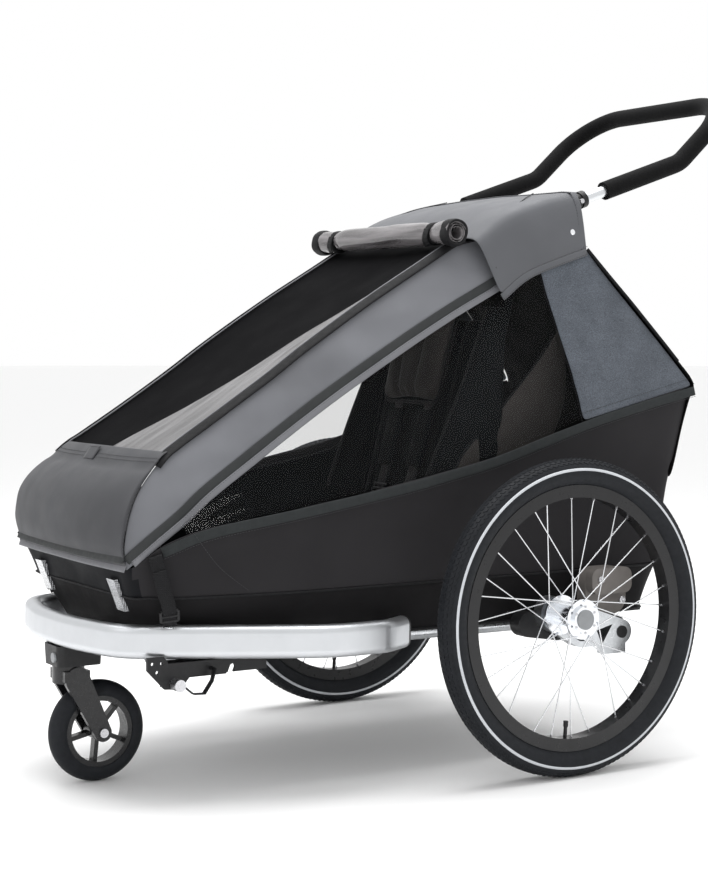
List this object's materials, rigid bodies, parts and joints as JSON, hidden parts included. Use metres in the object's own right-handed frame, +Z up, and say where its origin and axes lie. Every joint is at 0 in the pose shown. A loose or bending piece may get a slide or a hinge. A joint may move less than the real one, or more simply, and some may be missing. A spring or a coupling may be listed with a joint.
{
  "type": "child bicycle trailer",
  "caption": "Covered child trailer: sprung spoked wheels, swivelling nose wheel, bumper bar, fabric cabin with front window, folding roof and push handle.",
  "frame": {"origin": "bottom centre of the bounding box, on the ground", "axes": "+X forward towards the nose wheel, +Y to the left side, +Z up"},
  "size_m": [1.2306, 0.774, 1.1207],
  "materials": {
    "fabric_grey": "woven nylon",
    "fabric_dark": "coated woven polyester",
    "fabric_melange": "melange weave",
    "mesh": "fine insect mesh",
    "clear_film": "clear soft film",
    "frame_alloy": "satin anodised",
    "cast_alloy": "satin cast",
    "black_plastic": "moulded",
    "grey_plastic": "moulded",
    "reflector": "clear prismatic",
    "tyre": "bicycle tyre",
    "foam": "closed cell foam",
    "steel": "zinc plated",
    "rim_black": "anodised black",
    "seat_fabric": "padded seat cloth"
  },
  "bodies": {
    "chassis": {"floor_pan": "black_plastic", "floor_tubes": "frame_alloy", "bumper_bar": "frame_alloy", "bumper_plugs": "black_plastic", "bumper_brackets": "steel", "tub_sides": "fabric_dark", "tub_front": "fabric_dark", "tub_rear": "fabric_dark", "rear_panel": "fabric_dark", "side_windows": "clear_film", "rear_side_panels": "fabric_melange", "front_reflectors": "reflector", "drawbar_receiver": "black_plastic", "pin_strap": "fabric_dark", "suspension_mounts": "black_plastic", "suspension_housings": "grey_plastic", "arm_pivot_pins": "black_plastic", "caster_block": "black_plastic", "nose_brackets": "steel", "nose_pivot_pins": "steel", "latch_brackets": "black_plastic", "seat_pad": "seat_fabric", "harness_buckle": "black_plastic"},
    "roof": {"roof_rails": "frame_alloy", "handle_sleeves": "black_plastic", "mesh_window": "mesh", "rail_covers": "fabric_grey", "nose_cover": "fabric_grey", "hood": "fabric_grey", "rain_cover_roll": "clear_film", "backrest_pivot_pins": "steel"},
    "backrest": {"backrest_frame": "frame_alloy", "backrest_pad": "seat_fabric", "headrest": "seat_fabric", "harness_straps": "fabric_dark", "side_wings": "seat_fabric"},
    "handle": {"handle_bar": "frame_alloy", "handle_grip": "foam"},
    "caster_release": {"caster_button": "grey_plastic"},
    "caster_fork": {"caster_fork": "black_plastic", "caster_axle": "steel"},
    "caster_wheel": {"caster_rim": "black_plastic", "caster_tyre": "tyre"},
    "hitch_pin": {"hitch_pin": "steel"},
    "left_arm": {"swing_arm_left": "cast_alloy", "stub_axle_left": "steel"},
    "left_wheel": {"tyre_left": "tyre", "rim_left": "rim_black", "hub_left": "cast_alloy", "spokes_left": "steel"},
    "left_release": {"release_left": "grey_plastic"},
    "left_snap": {"snap_left": "steel"},
    "right_arm": {"swing_arm_right": "cast_alloy", "stub_axle_right": "steel"},
    "right_wheel": {"tyre_right": "tyre", "rim_right": "rim_black", "hub_right": "cast_alloy", "spokes_right": "steel"},
    "right_release": {"release_right": "grey_plastic"},
    "right_snap": {"snap_right": "steel"}
  },
  "joints": [
    {"name": "roof_fold", "type": "hinge", "parent": "chassis", "child": "roof", "pos_m": [0.52918, 0, 0.345], "axis": [0, -1, 0], "range_deg": [0, 22], "deforming": ["side_windows", "rear_side_panels", "rear_panel"]},
    {"name": "backrest_fold", "type": "hinge", "parent": "roof", "child": "backrest", "pos_m": [-0.16682, 0, 0.846], "axis": [0, -1, 0], "range_deg": [0, 30.86]},
    {"name": "handle_slide", "type": "slide", "parent": "roof", "child": "handle", "axis": [-0.9483, 0, 0.3173], "range_m": [0, 0.05]},
    {"name": "caster_swivel", "type": "hinge", "parent": "chassis", "child": "caster_fork", "pos_m": [0.58118, 0, 0.184], "axis": [0, 0, 1], "continuous": true},
    {"name": "caster_spin", "type": "hinge", "parent": "caster_fork", "child": "caster_wheel", "pos_m": [0.53518, 0, 0.0788], "axis": [0, 1, 0], "continuous": true},
    {"name": "caster_release_press", "type": "slide", "parent": "chassis", "child": "caster_release", "axis": [-1, 0, 0], "range_m": [0, 0.003], "stiffness_N_per_m": 300, "springref_m": -0.004},
    {"name": "hitch_pin_pull", "type": "slide", "parent": "chassis", "child": "hitch_pin", "axis": [0, 1, 0], "range_m": [0, 0.036], "deforming": ["pin_strap"]},
    {"name": "left_suspension", "type": "hinge", "parent": "chassis", "child": "left_arm", "pos_m": [-0.25982, 0.3, 0.21], "axis": [0, -1, 0], "range_deg": [0, 8], "stiffness_Nm_per_rad": 170, "springref_deg": -8.59},
    {"name": "left_wheel_spin", "type": "hinge", "parent": "left_arm", "child": "left_wheel", "pos_m": [-0.12282, 0.351, 0.25], "axis": [0, 1, 0], "continuous": true},
    {"name": "left_release_press", "type": "slide", "parent": "left_wheel", "child": "left_release", "axis": [0, -1, 0], "range_m": [0, 0.003], "stiffness_N_per_m": 300, "springref_m": -0.004},
    {"name": "left_snap_press", "type": "slide", "parent": "roof", "child": "left_snap", "axis": [0, -1, 0], "range_m": [0, 0.004], "stiffness_N_per_m": 300, "springref_m": -0.004},
    {"name": "right_suspension", "type": "hinge", "parent": "chassis", "child": "right_arm", "pos_m": [-0.25982, -0.3, 0.21], "axis": [0, -1, 0], "range_deg": [0, 8], "stiffness_Nm_per_rad": 170, "springref_deg": -8.59},
    {"name": "right_wheel_spin", "type": "hinge", "parent": "right_arm", "child": "right_wheel", "pos_m": [-0.12282, -0.351, 0.25], "axis": [0, 1, 0], "continuous": true},
    {"name": "right_release_press", "type": "slide", "parent": "right_wheel", "child": "right_release", "axis": [0, 1, 0], "range_m": [0, 0.003], "stiffness_N_per_m": 300, "springref_m": -0.004},
    {"name": "right_snap_press", "type": "slide", "parent": "roof", "child": "right_snap", "axis": [0, 1, 0], "range_m": [0, 0.004], "stiffness_N_per_m": 300, "springref_m": -0.004}
  ],
  "couplings": [
    {"joint": "backrest_fold", "follows": "roof_fold", "ratio": 1.38},
    {"joint": "right_snap_press", "follows": "left_snap_press", "ratio": 1}
  ]
}
